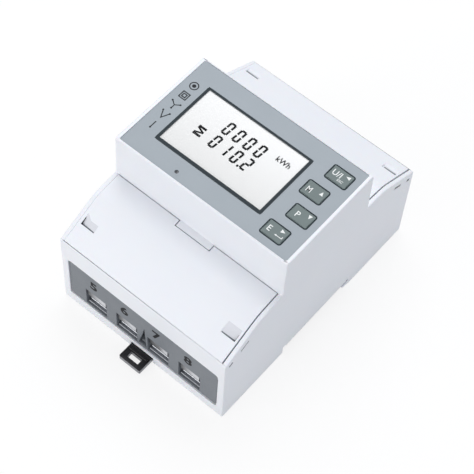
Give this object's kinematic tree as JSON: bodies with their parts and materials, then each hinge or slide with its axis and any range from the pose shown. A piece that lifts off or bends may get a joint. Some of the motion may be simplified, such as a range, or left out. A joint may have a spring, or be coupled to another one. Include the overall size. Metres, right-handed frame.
{
  "type": "reactive energy meter",
  "caption": "Rail-mounted reactive energy meter with a display, press keys, lift-off terminal covers and rising-cage screw terminals.",
  "frame": {"origin": "middle of the rail seat, the flat floor of the recess in the back", "axes": "+X to the right of someone reading the display, +Y to the top of the meter, +Z out of the panel"},
  "size_m": [0.072, 0.1065, 0.066],
  "materials": {
    "black_plastic": "moulded, satin",
    "blue_coating": "epoxy coating",
    "circuit_board": "solder mask",
    "clear_plastic": "clear, glossy",
    "dark_plastic": "moulded, fine grain",
    "diffuser": "white diffuser",
    "grey_plastic": "moulded, satin",
    "key_plastic": "moulded, matt",
    "label_film": "printed film",
    "lamp_lens": "dark clear lens",
    "lcd_glass": "display glass",
    "plated_steel": "zinc plated",
    "transformer_steel": "laminated, varnished",
    "white_plastic": "moulded, satin"
  },
  "bodies": {
    "root": {"base_screw_1": "plated_steel", "base_screw_2": "plated_steel", "base_screw_3": "plated_steel", "base_screw_4": "plated_steel", "board_header": "black_plastic", "busbar_1": "plated_steel", "busbar_2": "plated_steel", "busbar_3": "plated_steel", "busbar_4": "plated_steel", "capacitor": "blue_coating", "current_transformer_1": "blue_coating", "current_transformer_2": "blue_coating", "current_transformer_3": "blue_coating", "display_board": "circuit_board", "display_window": "clear_plastic", "faceplate": "label_film", "housing": "white_plastic", "lcd_backlight": "diffuser", "lcd_panel": "lcd_glass", "power_board": "circuit_board", "pulse_led": "lamp_lens", "rear_base": "grey_plastic", "supply_transformer": "transformer_steel", "tact_switch_1": "black_plastic", "tact_switch_2": "black_plastic", "tact_switch_3": "black_plastic", "tact_switch_4": "black_plastic", "terminal_block_lower": "dark_plastic", "terminal_block_upper": "dark_plastic"},
    "cover_lower": {"terminal_cover_lower": "white_plastic"},
    "cover_upper": {"terminal_cover_upper": "white_plastic"},
    "clip": {"din_clip": "black_plastic"},
    "key_1": {"key_1": "key_plastic"},
    "key_2": {"key_2": "key_plastic"},
    "key_3": {"key_3": "key_plastic"},
    "key_4": {"key_4": "key_plastic"},
    "screw_1": {"terminal_screw_1": "plated_steel"},
    "cage_1": {"terminal_cage_1": "plated_steel"},
    "screw_2": {"terminal_screw_2": "plated_steel"},
    "cage_2": {"terminal_cage_2": "plated_steel"},
    "screw_3": {"terminal_screw_3": "plated_steel"},
    "cage_3": {"terminal_cage_3": "plated_steel"},
    "screw_4": {"terminal_screw_4": "plated_steel"},
    "cage_4": {"terminal_cage_4": "plated_steel"},
    "screw_5": {"terminal_screw_5": "plated_steel"},
    "cage_5": {"terminal_cage_5": "plated_steel"},
    "screw_6": {"terminal_screw_6": "plated_steel"},
    "cage_6": {"terminal_cage_6": "plated_steel"},
    "screw_7": {"terminal_screw_7": "plated_steel"},
    "cage_7": {"terminal_cage_7": "plated_steel"},
    "screw_8": {"terminal_screw_8": "plated_steel"},
    "cage_8": {"terminal_cage_8": "plated_steel"}
  },
  "joints": [
    {"name": "cover_lower_lift", "type": "slide", "parent": "root", "child": "cover_lower", "axis": [0, 0, 1], "range_m": [0, 0.03]},
    {"name": "cover_upper_lift", "type": "slide", "parent": "root", "child": "cover_upper", "axis": [0, 0, 1], "range_m": [0, 0.03]},
    {"name": "clip_slide", "type": "slide", "parent": "root", "child": "clip", "axis": [0, -1, 0], "range_m": [0, 0.0045], "stiffness_N_per_m": 500, "springref_m": -0.004},
    {"name": "key_1_press", "type": "slide", "parent": "root", "child": "key_1", "axis": [0, 0, -1], "range_m": [0, 0.0004], "stiffness_N_per_m": 400, "springref_m": -0.001},
    {"name": "key_2_press", "type": "slide", "parent": "root", "child": "key_2", "axis": [0, 0, -1], "range_m": [0, 0.0004], "stiffness_N_per_m": 400, "springref_m": -0.001},
    {"name": "key_3_press", "type": "slide", "parent": "root", "child": "key_3", "axis": [0, 0, -1], "range_m": [0, 0.0004], "stiffness_N_per_m": 400, "springref_m": -0.001},
    {"name": "key_4_press", "type": "slide", "parent": "root", "child": "key_4", "axis": [0, 0, -1], "range_m": [0, 0.0004], "stiffness_N_per_m": 400, "springref_m": -0.001},
    {"name": "screw_1_turn", "type": "hinge", "parent": "root", "child": "screw_1", "pos_m": [-0.021, 0.042, 0.0205], "axis": [0, 0, -1], "range_deg": [0, 1800]},
    {"name": "cage_1_lift", "type": "slide", "parent": "root", "child": "cage_1", "axis": [0, 0, 1], "range_m": [0, 0.004]},
    {"name": "screw_2_turn", "type": "hinge", "parent": "root", "child": "screw_2", "pos_m": [-0.007, 0.042, 0.0205], "axis": [0, 0, -1], "range_deg": [0, 1800]},
    {"name": "cage_2_lift", "type": "slide", "parent": "root", "child": "cage_2", "axis": [0, 0, 1], "range_m": [0, 0.004]},
    {"name": "screw_3_turn", "type": "hinge", "parent": "root", "child": "screw_3", "pos_m": [0.007, 0.042, 0.0205], "axis": [0, 0, -1], "range_deg": [0, 1800]},
    {"name": "cage_3_lift", "type": "slide", "parent": "root", "child": "cage_3", "axis": [0, 0, 1], "range_m": [0, 0.004]},
    {"name": "screw_4_turn", "type": "hinge", "parent": "root", "child": "screw_4", "pos_m": [0.021, 0.042, 0.0205], "axis": [0, 0, -1], "range_deg": [0, 1800]},
    {"name": "cage_4_lift", "type": "slide", "parent": "root", "child": "cage_4", "axis": [0, 0, 1], "range_m": [0, 0.004]},
    {"name": "screw_5_turn", "type": "hinge", "parent": "root", "child": "screw_5", "pos_m": [-0.021, -0.042, 0.0205], "axis": [0, 0, -1], "range_deg": [0, 1800]},
    {"name": "cage_5_lift", "type": "slide", "parent": "root", "child": "cage_5", "axis": [0, 0, 1], "range_m": [0, 0.004]},
    {"name": "screw_6_turn", "type": "hinge", "parent": "root", "child": "screw_6", "pos_m": [-0.007, -0.042, 0.0205], "axis": [0, 0, -1], "range_deg": [0, 1800]},
    {"name": "cage_6_lift", "type": "slide", "parent": "root", "child": "cage_6", "axis": [0, 0, 1], "range_m": [0, 0.004]},
    {"name": "screw_7_turn", "type": "hinge", "parent": "root", "child": "screw_7", "pos_m": [0.007, -0.042, 0.0205], "axis": [0, 0, -1], "range_deg": [0, 1800]},
    {"name": "cage_7_lift", "type": "slide", "parent": "root", "child": "cage_7", "axis": [0, 0, 1], "range_m": [0, 0.004]},
    {"name": "screw_8_turn", "type": "hinge", "parent": "root", "child": "screw_8", "pos_m": [0.021, -0.042, 0.0205], "axis": [0, 0, -1], "range_deg": [0, 1800]},
    {"name": "cage_8_lift", "type": "slide", "parent": "root", "child": "cage_8", "axis": [0, 0, 1], "range_m": [0, 0.004]}
  ],
  "couplings": [
    {"joint": "screw_1_turn", "follows": "cage_1_lift", "rad_per_m": 7853.9},
    {"joint": "screw_2_turn", "follows": "cage_2_lift", "rad_per_m": 7853.9},
    {"joint": "screw_3_turn", "follows": "cage_3_lift", "rad_per_m": 7853.9},
    {"joint": "screw_4_turn", "follows": "cage_4_lift", "rad_per_m": 7853.9},
    {"joint": "screw_5_turn", "follows": "cage_5_lift", "rad_per_m": 7853.9},
    {"joint": "screw_6_turn", "follows": "cage_6_lift", "rad_per_m": 7853.9},
    {"joint": "screw_7_turn", "follows": "cage_7_lift", "rad_per_m": 7853.9},
    {"joint": "screw_8_turn", "follows": "cage_8_lift", "rad_per_m": 7853.9}
  ]
}
